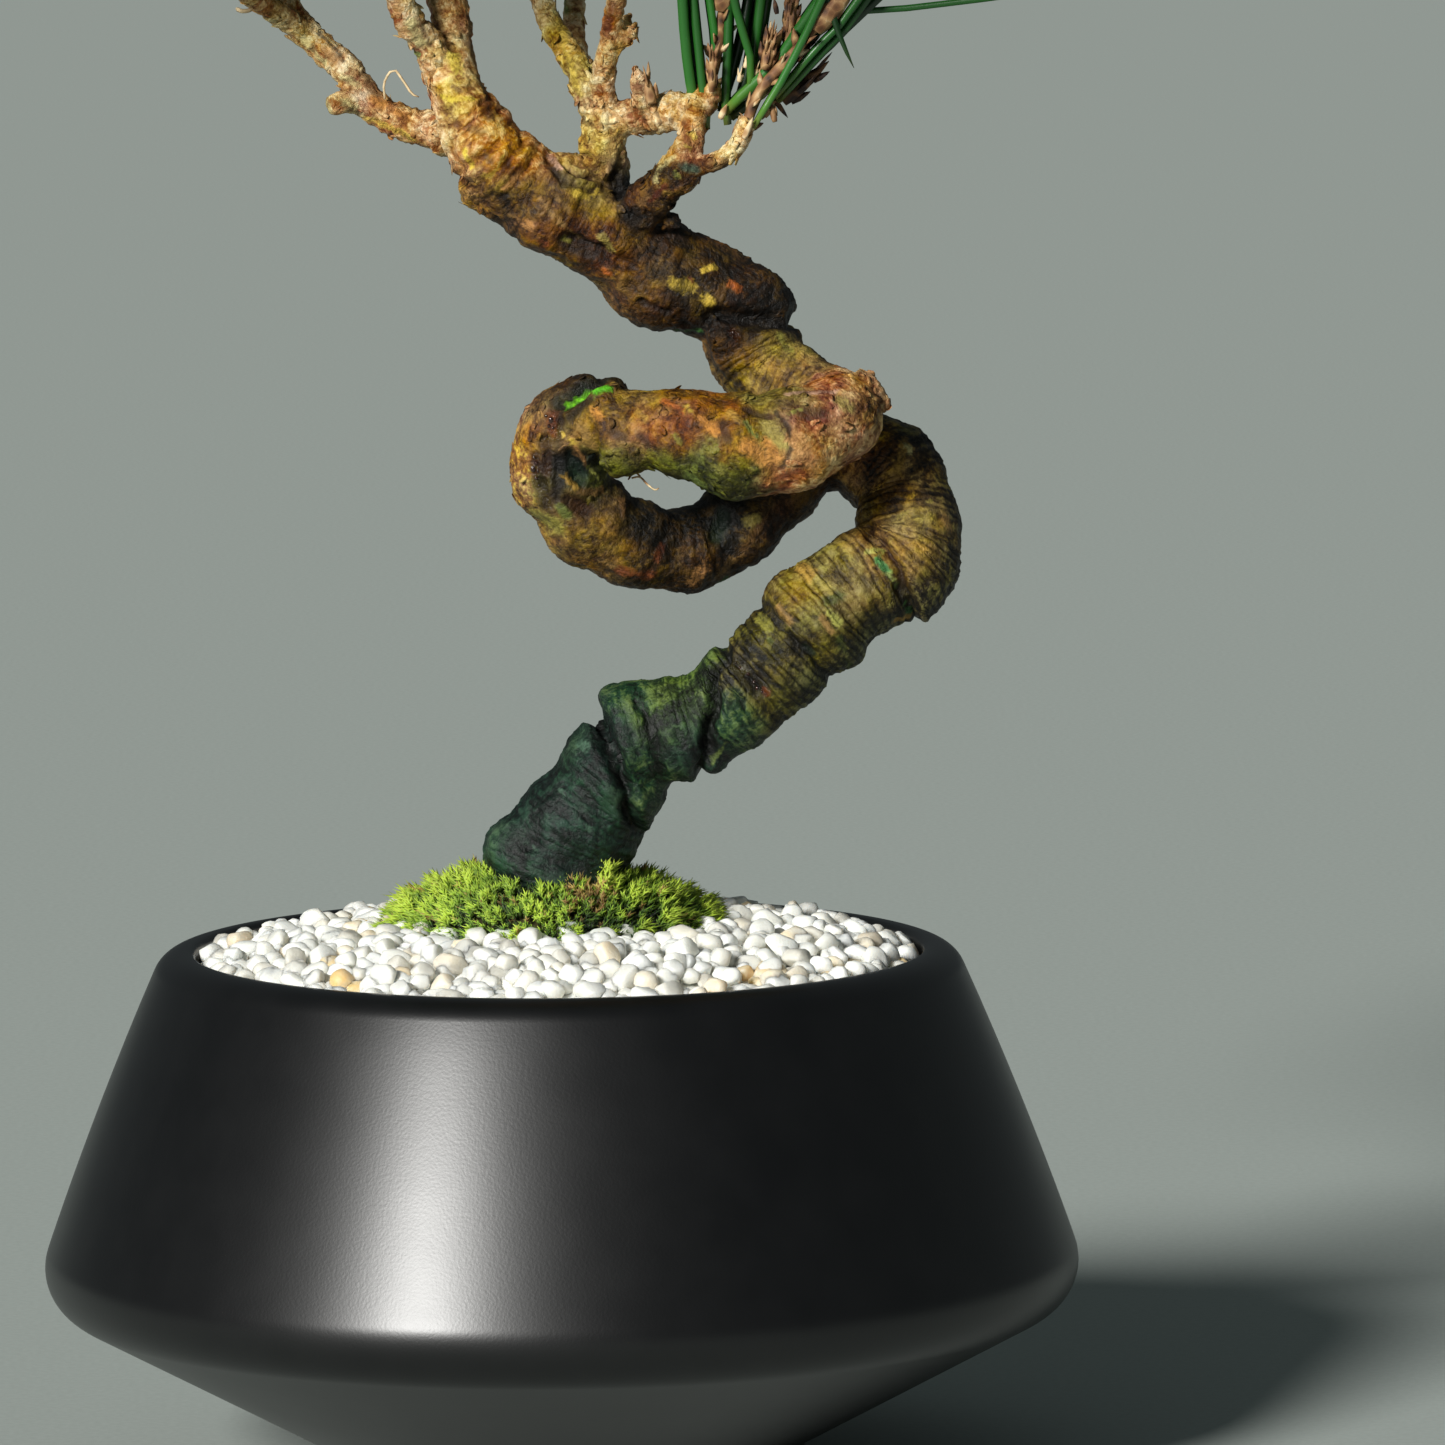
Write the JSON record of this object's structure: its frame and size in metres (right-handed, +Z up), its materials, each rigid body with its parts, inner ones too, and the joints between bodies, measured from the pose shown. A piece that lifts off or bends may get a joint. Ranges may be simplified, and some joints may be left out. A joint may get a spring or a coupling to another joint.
{
  "type": "japanese black pine bonsai",
  "caption": "Potted black pine bonsai: a looped, folded trunk and twigs with needle sprays, moss and white gravel in a round satin black pot.",
  "frame": {"origin": "centre of the pot's foot, on the surface that it stands on", "axes": "+Z up the tree, -Y towards the viewer's side, +X to the viewer's right"},
  "size_m": [0.2008, 0.18, 0.3251],
  "materials": {
    "pot": "satin black glaze on a turned body",
    "drain_screen": "thin black moulded screen",
    "soil": "damp brown baked clay grit",
    "gravel": "white quartz chips, matt",
    "moss": "live yellow-green moss",
    "bark": "folded bark, dark green low down, ochre and brown above",
    "needles": "glossy dark green needles"
  },
  "bodies": {
    "root": {"pot": "pot", "drain_screen": "drain_screen", "soil": "soil", "gravel": "gravel", "moss": "moss", "trunk": "bark", "needles_far_left": "needles", "needles_left": "needles", "needles_left_front": "needles", "needles_crown": "needles", "needles_left_back": "needles", "needles_middle": "needles", "needles_back": "needles", "needles_middle_front": "needles", "needles_right": "needles", "needles_far_right": "needles"}
  },
  "joints": []
}
